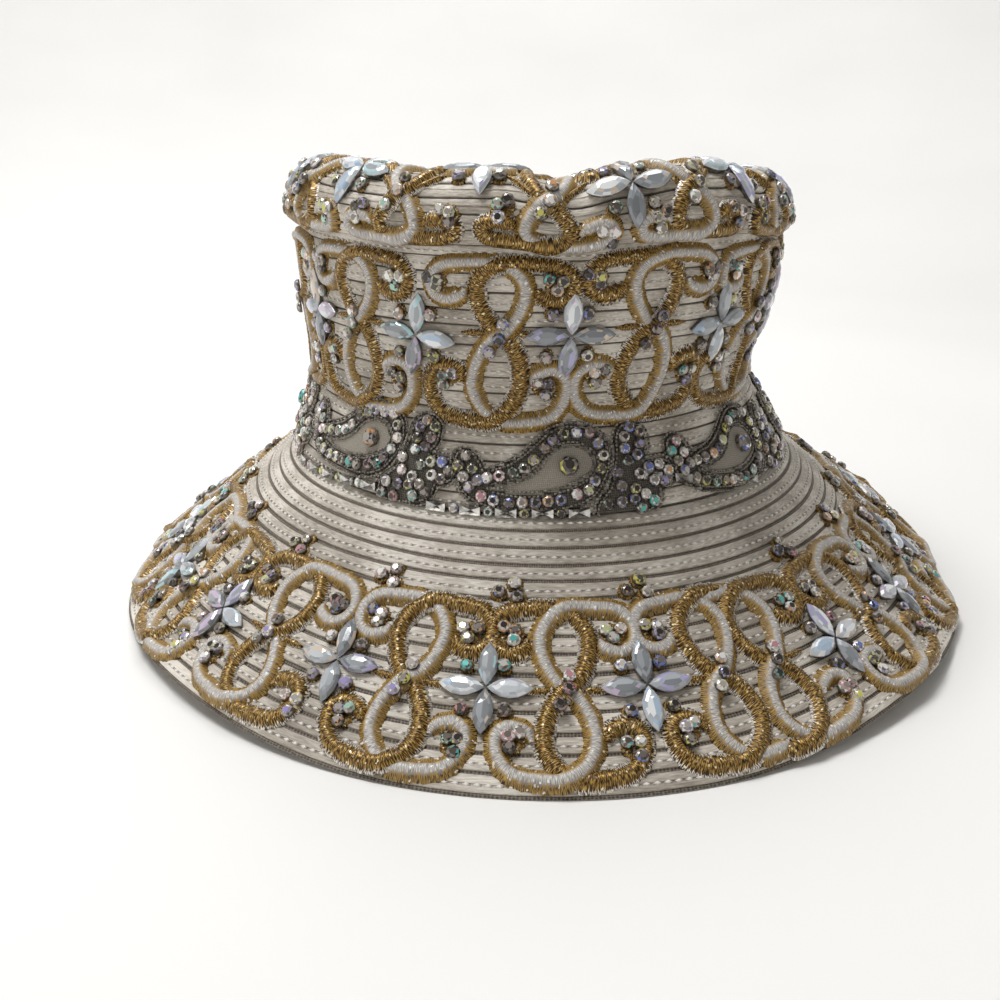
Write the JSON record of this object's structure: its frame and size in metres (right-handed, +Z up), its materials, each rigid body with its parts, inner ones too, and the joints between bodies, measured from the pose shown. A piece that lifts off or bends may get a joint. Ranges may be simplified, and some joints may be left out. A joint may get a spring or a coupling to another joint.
{
  "type": "church hat",
  "caption": "Hat of sewn ribbon rows with a waisted crown and sloping brim, trimmed with gold and white corded lace, stone flowers and beaded paisley ornaments.",
  "frame": {"origin": "middle of the hat's box on the plane that the brim edge rests on", "axes": "+Z up through the crown, -Y the front of the hat, +X towards the right of someone facing the front"},
  "size_m": [0.352, 0.39, 0.1806],
  "materials": {
    "ribbon": "satin ribbon rows, stitched, warm ivory grey",
    "corded_lace": "satin-stitched cords in antique gold and silver-white thread",
    "cut_stone": "faceted foil-backed stones with a rainbow coating",
    "beadwork": "gunmetal seed beads and set rhinestones on dark net"
  },
  "bodies": {
    "root": {"crown": "ribbon", "brim": "ribbon", "crown_tip_lace": "corded_lace", "crown_tip_flower_01": "cut_stone", "crown_tip_flower_02": "cut_stone", "crown_tip_flower_03": "cut_stone", "crown_tip_flower_04": "cut_stone", "crown_tip_flower_05": "cut_stone", "crown_tip_flower_06": "cut_stone", "crown_tip_flower_07": "cut_stone", "crown_tip_flower_08": "cut_stone", "crown_tip_flower_09": "cut_stone", "crown_tip_flower_10": "cut_stone", "crown_tip_flower_11": "cut_stone", "crown_tip_flower_12": "cut_stone", "crown_side_lace": "corded_lace", "crown_side_flower_01": "cut_stone", "crown_side_flower_02": "cut_stone", "crown_side_flower_03": "cut_stone", "crown_side_flower_04": "cut_stone", "crown_side_flower_05": "cut_stone", "crown_side_flower_06": "cut_stone", "crown_side_flower_07": "cut_stone", "crown_side_flower_08": "cut_stone", "crown_side_flower_09": "cut_stone", "crown_side_flower_10": "cut_stone", "crown_side_flower_11": "cut_stone", "brim_lace": "corded_lace", "brim_flower_01": "cut_stone", "brim_flower_02": "cut_stone", "brim_flower_03": "cut_stone", "brim_flower_04": "cut_stone", "brim_flower_05": "cut_stone", "brim_flower_06": "cut_stone", "brim_flower_07": "cut_stone", "brim_flower_08": "cut_stone", "brim_flower_09": "cut_stone", "brim_flower_10": "cut_stone", "brim_flower_11": "cut_stone", "brim_flower_12": "cut_stone", "brim_flower_13": "cut_stone", "brim_flower_14": "cut_stone", "brim_flower_15": "cut_stone", "brim_flower_16": "cut_stone", "brim_flower_17": "cut_stone", "brim_flower_18": "cut_stone", "band_applique_1": "beadwork", "band_applique_2": "beadwork", "band_applique_3": "beadwork", "band_applique_4": "beadwork", "band_applique_5": "beadwork", "band_applique_6": "beadwork", "band_applique_7": "beadwork", "band_applique_8": "beadwork"}
  },
  "joints": []
}
